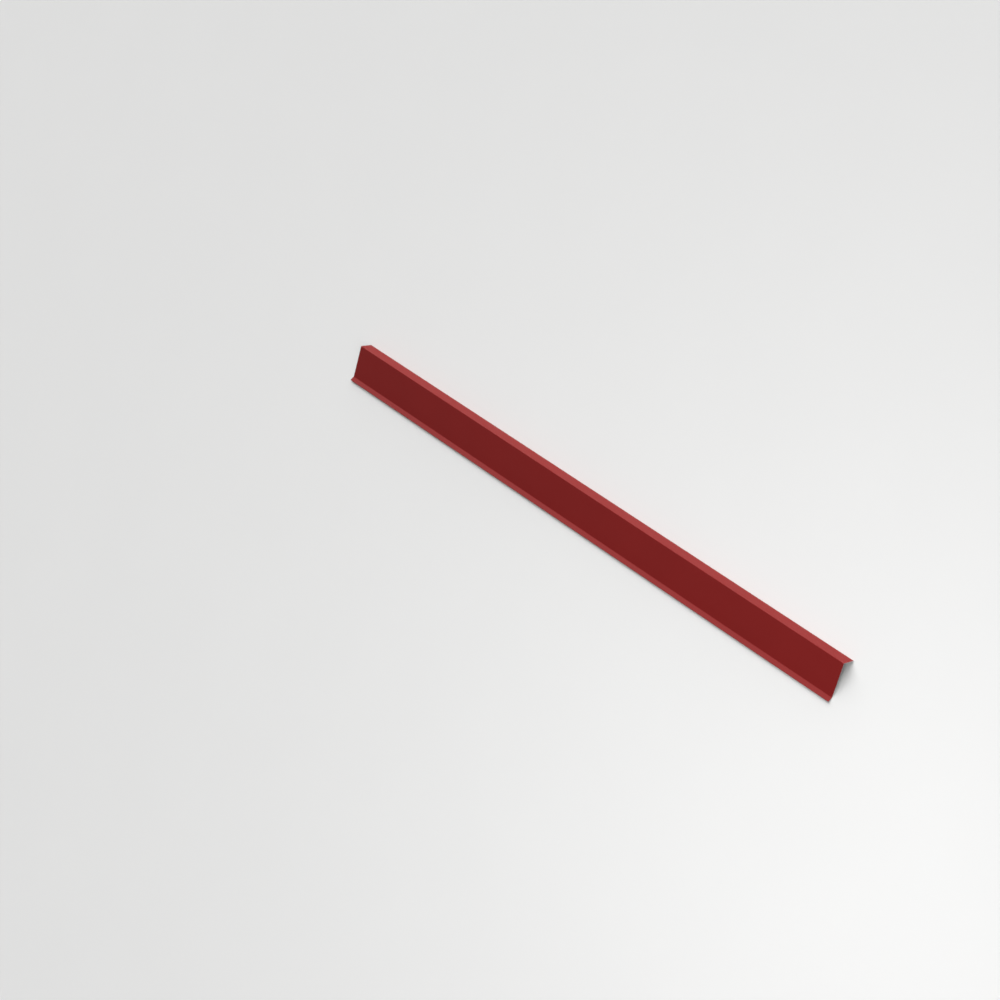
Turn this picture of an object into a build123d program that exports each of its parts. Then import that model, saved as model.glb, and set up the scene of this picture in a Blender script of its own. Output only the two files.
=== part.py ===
from build123d import *

import os
from math import asin, atan2, degrees, radians, tan

# Roof edge trim: one stock length of coated steel sheet, folded lengthwise into a flange that is fixed down,
# a face that covers the edge, and a lip at the face's foot that throws water clear.

# Driving dimensions, in millimetres and degrees. Widths are outside sizes, to the sharp corner of a fold.
length = 2000.0  # one stock length, cut square at both ends
flange_width = 42.0  # from the cut edge to the top fold
face_depth = 105.0  # from the top fold to the lip fold
lip_width = 15.0  # from the lip fold to the hemmed edge
hem_width = 8.0  # the return that is folded back behind the lip
hem_gap = 0.4  # between the return and the lip
sheet = 0.6  # thickness of the coated sheet
bend_radius = 1.0  # inside radius of the top fold and the lip fold
top_turn = 90.0  # from the flange down to the face
lip_turn = 45.0  # from the face outwards to the lip
hem_turn = 180.0  # right round, behind the lip


def setback(radius, turn):
    """How far a bend starts before the sharp corner that its two runs would meet at."""
    return radius * tan(radians(turn) / 2)


# The straight runs between the bends, along the good side of the sheet.
top_setback = setback(bend_radius + sheet, top_turn)
lip_setback = setback(bend_radius, lip_turn)
hem_radius = hem_gap / 2
hem_reach = hem_radius + sheet
flange_run = flange_width - top_setback
face_run = face_depth - top_setback - lip_setback
lip_run = lip_width - lip_setback - hem_reach
return_run = hem_width - hem_reach

# Each fold as its turn, its inside radius and the straight run after it. The back of the sheet is on the
# left, so a positive turn folds towards the back and a negative one towards the good side.
folds = [
    (top_turn, bend_radius, face_run),
    (-lip_turn, bend_radius, lip_run),
    (hem_turn, hem_radius, return_run),
]


def sheet_side(depth):
    """One side of the sheet as run, bend, run and so on, from the flange's cut edge to the end of the hem.

    The good side is at depth 0 and the back is one sheet deeper. As fitted, the flange is level, with its
    top at height 0 and the top fold at 0, and the face is plumb.
    """
    edges = [Line((flange_width, -depth), (flange_width - flange_run, -depth))]
    for turn, inside, run in folds:
        radius = inside + (sheet - depth if turn > 0 else depth)
        bend = JernArc(edges[-1] @ 1, edges[-1] % 1, radius, turn)
        edges += [bend, Line(bend @ 1, bend @ 1 + (bend % 1) * run)]
    return edges


def folded_section():
    """The section through the folded sheet, as one face."""
    front = sheet_side(0)
    back = sheet_side(sheet)
    flange_edge = Line(front[0] @ 0, back[0] @ 0)
    hem_edge = Line(front[-1] @ 1, back[-1] @ 1)
    return make_face([*front, *back, flange_edge, hem_edge])


def lying_angle():
    """The angle of the line from the foot of the lip bend to the flange's cut edge.

    Laid down with the good side up, the trim stands on the back of these two, so the line becomes the
    floor. It touches the round back of the bend and goes through the corner of the cut edge.
    """
    flange, top_bend, face, lip_bend, *lip_and_hem = sheet_side(sheet)
    reach = flange @ 0 - lip_bend.arc_center
    return degrees(atan2(reach.Y, reach.X) + asin(lip_bend.radius / reach.length))


def edge_trim():
    """The trim as it lies on a level floor, with its length along X and the lip towards -Y."""
    fitted = extrude(Plane.YZ * folded_section(), length / 2, both=True)
    lying = Rot(X=-lying_angle()) * fitted
    box = lying.bounding_box()
    return Pos(0, -box.center().Y, -box.min.Z) * lying


os.makedirs("parts", exist_ok=True)
export_step(edge_trim(), "parts/edge_trim.step")
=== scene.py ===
from math import asin, copysign, pi, radians, tan

import bpy
import numpy as np
from mathutils import Matrix, Vector


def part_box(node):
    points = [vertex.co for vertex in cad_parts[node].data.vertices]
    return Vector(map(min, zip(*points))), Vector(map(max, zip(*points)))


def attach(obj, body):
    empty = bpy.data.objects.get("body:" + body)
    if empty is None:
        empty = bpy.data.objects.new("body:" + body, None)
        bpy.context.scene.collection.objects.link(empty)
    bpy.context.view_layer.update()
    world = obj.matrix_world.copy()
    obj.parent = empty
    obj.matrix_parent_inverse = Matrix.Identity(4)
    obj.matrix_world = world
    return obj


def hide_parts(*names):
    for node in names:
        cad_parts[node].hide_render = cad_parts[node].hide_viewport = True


# Roof edge trim: the folded sheet with its coatings, as it lies on a pale studio floor.
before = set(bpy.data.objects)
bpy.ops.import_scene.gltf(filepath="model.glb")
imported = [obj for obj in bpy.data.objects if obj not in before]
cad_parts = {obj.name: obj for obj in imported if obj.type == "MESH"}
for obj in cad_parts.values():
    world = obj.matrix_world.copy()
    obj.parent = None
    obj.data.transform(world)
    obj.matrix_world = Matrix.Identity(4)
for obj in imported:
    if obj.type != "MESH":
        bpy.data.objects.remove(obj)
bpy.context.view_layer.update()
LOWEST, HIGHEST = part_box("edge_trim")

# The folded section, in metres, with the sizes of the solid. Widths go to the sharp corner of a fold.
FLANGE_WIDTH = 0.042
FACE_DEPTH = 0.105
LIP_WIDTH = 0.015
HEM_WIDTH = 0.008
HEM_GAP = 0.0004
SHEET = 0.0006
BEND_RADIUS = 0.001
TOP_TURN = radians(90)
LIP_TURN = radians(45)
HEM_TURN = radians(180)

# How finely the sheet is divided: along its length, across a flat, beside a bend and round a bend.
STATION_STEP = 0.01
FLAT_STEP = 0.008
BEND_MARGIN = 0.0004
BEND_STEPS = 10
SHARP_EDGE = radians(40)  # an edge that turns by more is shaded sharp

# A thin sheet is never quite flat. The face swells by this much, in slow waves along the length, each
# with its length and its start.
FACE_SWELL = 0.00035
WAVES = [(0.61, 0.11), (0.37, 0.29), (0.23, 0.05)]

# The photograph's camera, found from its vanishing points. Its angles are about the trim as fitted, with
# the flange level: round from the near end, which is at +X, then up, then tipped about the line of sight.
CAMERA_AZIMUTH = radians(-49.632)
CAMERA_ELEVATION = radians(23.535)
CAMERA_ROLL = radians(15.513)
FRAME_PIXELS = 1000
FOCAL_PIXELS = 2360
NEAR_CORNER_PIXEL = (843.6, 663.0)  # the near end of the top fold
NEAR_CORNER_DEPTH = 6.158
SENSOR_WIDTH = 36.0

# The light. A level of 1 makes a white surface white.
ROOM_SHOWN = 0.74
ROOM_LEVEL = 0.185
WINDOW_LEVEL = 1.32
WINDOW_FROM = (-0.35, 0.75, 0.56)
WINDOW_SPREAD = radians(75)
SOFTBOX_WATTS = 16
SOFTBOX_SIZE = 1.2
SOFTBOX_PLACE = (1.9, -0.4, 2.0)
FLOOR_HALF = 200.0

# The finishes: the darkest and the palest colour of each, in linear light, and the depths of their relief.
RED = ((0.208, 0.0128, 0.0118, 1), (0.236, 0.0148, 0.0136, 1))
STRETCHED_RED = (0.32, 0.055, 0.050, 1)
PRIMER_GREY = ((0.36, 0.36, 0.34, 1), (0.43, 0.425, 0.40, 1))
STEEL = ((0.46, 0.46, 0.47, 1), (0.66, 0.66, 0.66, 1))
FLOOR_GREY = ((0.755, 0.755, 0.750, 1), (0.77, 0.77, 0.765, 1))
GRAIN_DEPTH = 0.00002
SHEAR_DEPTH = 0.00003


class Value:
    """A node's output, with the sums that the finishes are written in."""

    def __init__(self, nodes, socket):
        self.nodes = nodes
        self.socket = socket

    def maths(self, operation, first, second):
        return self.nodes.node("Math", {"operation": operation}, {0: first, 1: second})

    def __add__(self, other):
        return self.maths("ADD", self, other)

    def __radd__(self, other):
        return self.maths("ADD", other, self)

    def __mul__(self, other):
        return self.maths("MULTIPLY", self, other)

    def __rmul__(self, other):
        return self.maths("MULTIPLY", other, self)

    def above(self, start, end):
        """0 below start, 1 above end, and a smooth step between them."""
        settings = {"interpolation_type": "SMOOTHSTEP"}
        return self.nodes.node("MapRange", settings, {"Value": self, "From Min": start, "From Max": end})


class Nodes:
    """The nodes of a finish or of the room."""

    def __init__(self, tree):
        self.tree = tree

    def node(self, kind, settings=None, inputs=None, output=0):
        """Adds a node with these settings and the values or links of its sockets, and gives its output."""
        made = self.tree.nodes.new("ShaderNode" + kind)
        for name, value in (settings or {}).items():
            setattr(made, name, value)
        for name, value in (inputs or {}).items():
            self.put(made.inputs[name], value)
        return Value(self, made.outputs[output])

    def put(self, socket, value):
        if isinstance(value, Value):
            self.tree.links.new(value.socket, socket)
        else:
            socket.default_value = value


class Finish(Nodes):
    """A material on its shader."""

    def __init__(self, name):
        self.material = bpy.data.materials.new(name)
        self.material.use_nodes = True
        super().__init__(self.material.node_tree)

    def surface(self, **values):
        """Sets the shader's sockets, named with _ for a space, and gives the material."""
        shader = self.tree.nodes["Principled BSDF"]
        for name, value in values.items():
            self.put(shader.inputs[name.replace("_", " ")], value)
        return self.material

    def noise(self, scale, detail=2.0, stretch=(1, 1, 1)):
        """Soft noise from 0 to 1, with this many features to a metre, times stretch along each axis."""
        at = self.node("TexCoord", output="Object")
        place = self.node("VectorMath", {"operation": "MULTIPLY"}, {0: at, 1: stretch})
        return self.node("TexNoise", None, {"Vector": place, "Scale": scale, "Detail": detail})

    def blend(self, first, second, factor):
        """One colour turning into another as factor goes from 0 to 1."""
        return self.node("Mix", {"data_type": "RGBA"}, {0: factor, 6: first, 7: second}, 2)

    def relief(self, height, depth):
        """The normal of a surface with this relief, which is depth metres from lowest to highest."""
        return self.node("Bump", None, {"Height": height, "Distance": depth, "Strength": 1.0})


def satin_red():
    """The good side: satin coil coating, a little paler where the folds have stretched it."""
    finish = Finish("satin_red")
    tone = finish.noise(7, detail=3)
    roller_streaks = finish.noise(1, detail=4, stretch=(1.5, 260, 260))
    grain = finish.noise(1500)
    fold = finish.node("Attribute", {"attribute_name": "fold"}, output="Fac")
    stretched = fold * finish.noise(260, detail=4).above(0.35, 0.75)
    return finish.surface(
        Base_Color=finish.blend(finish.blend(*RED, tone), STRETCHED_RED, stretched * 0.4),
        Roughness=0.40 + roller_streaks * 0.06,
        Specular_IOR_Level=0.10,
        Normal=finish.relief(grain, GRAIN_DEPTH),
    )


def backing_coat():
    """The back: a thin pale grey primer with the roller's streaks."""
    finish = Finish("backing_coat")
    tone = finish.noise(5, detail=3)
    roller_streaks = finish.noise(1, detail=4, stretch=(2, 300, 300))
    grain = finish.noise(1100)
    shade = tone * 0.6 + roller_streaks * 0.4
    return finish.surface(
        Base_Color=finish.blend(*PRIMER_GREY, shade),
        Roughness=0.5 + roller_streaks * 0.15,
        Normal=finish.relief(grain, GRAIN_DEPTH),
    )


def cut_steel():
    """The sheared edges, where the zinc and the steel show."""
    finish = Finish("cut_steel")
    shear = finish.noise(900, detail=3)
    return finish.surface(
        Base_Color=finish.blend(*STEEL, shear),
        Metallic=1.0,
        Roughness=0.38 + shear * 0.2,
        Normal=finish.relief(shear, SHEAR_DEPTH),
    )


def pale_floor():
    """A matt studio floor, very slightly uneven in tone."""
    finish = Finish("pale_floor")
    return finish.surface(
        Base_Color=finish.blend(*FLOOR_GREY, finish.noise(3)),
        Roughness=0.85,
        Specular_IOR_Level=0.2,
    )


def setback(radius, turn):
    """How far a bend starts before the sharp corner that its two flats would meet at."""
    return radius * tan(turn / 2)


TOP_SETBACK = setback(BEND_RADIUS + SHEET, TOP_TURN)
LIP_SETBACK = setback(BEND_RADIUS, LIP_TURN)
HEM_REACH = HEM_GAP / 2 + SHEET
FLANGE_FLAT = FLANGE_WIDTH - TOP_SETBACK
FACE_FLAT = FACE_DEPTH - TOP_SETBACK - LIP_SETBACK
LIP_FLAT = LIP_WIDTH - LIP_SETBACK - HEM_REACH
HEM_FLAT = HEM_WIDTH - HEM_REACH

# Each fold as its turn, its inside radius, the flat after it and how far that swells. A positive turn
# folds towards the back of the sheet.
FOLDS = [
    (TOP_TURN, BEND_RADIUS, FACE_FLAT, FACE_SWELL),
    (-LIP_TURN, BEND_RADIUS, LIP_FLAT, 0.0),
    (HEM_TURN, HEM_GAP / 2, HEM_FLAT, 0.0),
]

# The section is drawn with complex numbers. As fitted, the real part goes inwards over the flange and the
# imaginary part goes up, with 0 at the sharp corner of the top fold. Each stretch of the section has four
# rows: its points, their headings, how far each may swell, and 1 on a fold or 0 on a flat.
PLACE, HEADING, SWELL, FOLD = range(4)


def flat(start, heading, width, swell=0.0):
    """A flat from start, with a point close to the bend at each end."""
    inner = np.linspace(BEND_MARGIN, width - BEND_MARGIN, max(2, round(width / FLAT_STEP)))
    steps = np.concatenate(([0.0], inner, [width]))
    rows = np.zeros((4, len(steps)), complex)
    rows[PLACE] = start + heading * steps
    rows[HEADING] = heading
    rows[SWELL] = swell * np.sin(pi * steps / width)
    return rows


def bend(start, heading, radius, turn):
    """A bend from start, to the left of its heading where the turn is positive."""
    turned = np.exp(1j * turn * np.linspace(0, 1, BEND_STEPS + 1))
    to_centre = 1j * heading * copysign(radius, turn)
    rows = np.zeros((4, len(turned)), complex)
    rows[PLACE] = start + to_centre * (1 - turned)
    rows[HEADING] = heading * turned
    rows[FOLD] = 1
    return rows


def end_of(stretch):
    """The last point of a stretch and its heading there, which the next stretch starts from."""
    return stretch[PLACE, -1], stretch[HEADING, -1]


def sheet_side(depth):
    """One side of the sheet, from the flange's cut edge to the end of the hem.

    The good side is at depth 0, and the back is one sheet deeper, on the left of the headings.
    """
    stretches = [flat(FLANGE_WIDTH - 1j * depth, -1, FLANGE_FLAT)]
    for turn, inside, width, swell in FOLDS:
        radius = inside + (SHEET - depth if turn > 0 else depth)
        stretches.append(bend(*end_of(stretches[-1]), radius, turn)[:, 1:])
        stretches.append(flat(*end_of(stretches[-1]), width, swell)[:, 1:])
    return np.concatenate(stretches, axis=1)


def lying_turn():
    """How far the trim turns from its fitted place to lie on the floor with its good side up.

    It lies on the round back of the lip bend and the corner of the flange's cut edge.
    """
    reach = complex(FLANGE_WIDTH + BEND_RADIUS, FACE_DEPTH - LIP_SETBACK - SHEET)
    return np.angle(reach) + asin((BEND_RADIUS + SHEET) / abs(reach))


# The section goes once round the sheet: the good side, then the back from the hem to the flange. On the
# floor it is turned and moved into the box of the solid, with Y as the real part and Z as the imaginary.
SECTION = np.concatenate((sheet_side(0.0), sheet_side(SHEET)[:, ::-1]), axis=1)
TO_FLOOR = np.exp(-1j * lying_turn())
TURNED = SECTION[PLACE] * TO_FLOOR
TOP_CORNER = complex(HIGHEST.y - TURNED.real.max(), LOWEST.z - TURNED.imag.min())

# The sheet's finishes, in the order of the mesh's materials.
COATED, BACKED, CUT = range(3)


def slow_waves(along):
    """The swell at places along the length, from -1 to 1."""
    return sum(np.sin(2 * pi * (along + start) / wave) for wave, start in WAVES) / len(WAVES)


def rings_along(stations):
    """The section at each station of the length, as it lies on the floor, swelled by the waves."""
    outwards = -1j * SECTION[HEADING] * TO_FLOOR
    return TURNED + TOP_CORNER + np.outer(slow_waves(stations), SECTION[SWELL] * outwards)


def quads(grid):
    """The quads between the rows of a grid of point numbers."""
    corners = (grid[:-1, :-1], grid[:-1, 1:], grid[1:, 1:], grid[1:, :-1])
    return np.stack(corners, axis=-1).reshape(-1, 4)


def cut_end(ring):
    """The quads across a cut end, from the good side's points to those of the back."""
    good_side, back = np.split(ring, 2)
    return quads(np.stack((good_side, back[::-1])))


def sheet_faces(ring_count, ring_size):
    """The quads along the sheet and across its two cut ends, with the finish of each."""
    numbers = np.arange(ring_count * ring_size).reshape(ring_count, ring_size)
    walls = quads(np.hstack((numbers, numbers[:, :1])))
    far_end = cut_end(numbers[0])[:, ::-1]
    near_end = cut_end(numbers[-1])
    faces = np.concatenate((walls, far_end, near_end))

    side = ring_size // 2
    round_ring = np.repeat((COATED, BACKED), side)
    round_ring[[side - 1, -1]] = CUT
    ends = np.full(len(far_end) + len(near_end), CUT)
    return faces, np.concatenate((np.tile(round_ring, ring_count - 1), ends))


def folded_sheet():
    """The trim as one closed mesh, with a ring of the section at each station of the length."""
    stations = np.linspace(LOWEST.x, HIGHEST.x, round((HIGHEST.x - LOWEST.x) / STATION_STEP) + 1)
    rings = rings_along(stations)
    along = np.broadcast_to(stations[:, None], rings.shape)
    places = np.stack((along, rings.real, rings.imag), axis=-1).reshape(-1, 3)
    faces, finishes = sheet_faces(*rings.shape)

    mesh = bpy.data.meshes.new("folded_sheet")
    mesh.from_pydata(places.tolist(), [], faces.tolist())
    mesh.polygons.foreach_set("material_index", finishes)
    mesh.polygons.foreach_set("use_smooth", np.ones(len(faces), bool))
    mesh.set_sharp_from_angle(angle=SHARP_EDGE)
    on_fold = mesh.attributes.new("fold", "FLOAT", "POINT")
    on_fold.data.foreach_set("value", np.tile(SECTION[FOLD].real, len(stations)))
    for material in (satin_red(), backing_coat(), cut_steel()):
        mesh.materials.append(material)
    return mesh


def add_object(name, data):
    made = bpy.data.objects.new(name, data)
    bpy.context.scene.collection.objects.link(made)
    return made


def add_trim():
    trim = add_object("roof_edge_trim", folded_sheet())
    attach(trim, "root")
    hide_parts("edge_trim")


def add_floor():
    mesh = bpy.data.meshes.new("floor")
    corners = [(x * FLOOR_HALF, y * FLOOR_HALF, 0) for x, y in ((-1, -1), (1, -1), (1, 1), (-1, 1))]
    mesh.from_pydata(corners, [], [(0, 1, 2, 3)])
    mesh.materials.append(pale_floor())
    add_object("floor", mesh)


def add_room():
    """A pale room to look at, which lights the trim less than it shows."""
    world = bpy.data.worlds.new("room")
    bpy.context.scene.world = world
    world.use_nodes = True
    room = Nodes(world.node_tree)
    rays = ("Is Camera Ray", "Is Glossy Ray", "Is Transmission Ray")
    camera, glossy, transmission = (room.node("LightPath", output=ray) for ray in rays)
    shown = camera + glossy + transmission
    walls = world.node_tree.nodes["Background"]
    room.put(walls.inputs["Color"], (1, 1, 1, 1))
    room.put(walls.inputs["Strength"], ROOM_LEVEL + shown * (ROOM_SHOWN - ROOM_LEVEL))


def add_lamp(name, kind, energy, place, **settings):
    """A lamp that shines from place towards the middle of the trim."""
    lamp = bpy.data.lights.new(name, kind)
    lamp.energy = energy
    for setting, value in settings.items():
        setattr(lamp, setting, value)
    made = add_object(name, lamp)
    made.location = place
    made.rotation_euler = Vector(place).to_track_quat("Z", "Y").to_euler()


def add_camera():
    """The photograph's camera, set off from the near end of the top fold."""
    turn = (
        Matrix.Rotation(-lying_turn(), 3, "X")
        @ Matrix.Rotation(CAMERA_AZIMUTH + pi / 2, 3, "Z")
        @ Matrix.Rotation(pi / 2 - CAMERA_ELEVATION, 3, "X")
        @ Matrix.Rotation(CAMERA_ROLL, 3, "Z")
    )
    middle_pixel = (FRAME_PIXELS - 1) / 2
    across, down = ((pixel - middle_pixel) / FOCAL_PIXELS for pixel in NEAR_CORNER_PIXEL)
    corner = Vector((HIGHEST.x, TOP_CORNER.real, TOP_CORNER.imag))
    camera = bpy.data.cameras.new("camera")
    camera.sensor_width = SENSOR_WIDTH
    camera.lens = FOCAL_PIXELS * SENSOR_WIDTH / FRAME_PIXELS
    made = add_object("camera", camera)
    made.rotation_euler = turn.to_euler()
    made.location = corner - turn @ Vector((across, -down, -1)) * NEAR_CORNER_DEPTH
    bpy.context.scene.camera = made


add_trim()
add_floor()
add_room()
add_lamp("window", "SUN", WINDOW_LEVEL * pi, WINDOW_FROM, angle=WINDOW_SPREAD)
add_lamp("near_softbox", "AREA", SOFTBOX_WATTS, SOFTBOX_PLACE, size=SOFTBOX_SIZE)
add_camera()
bpy.context.scene.view_settings.view_transform = "Standard"
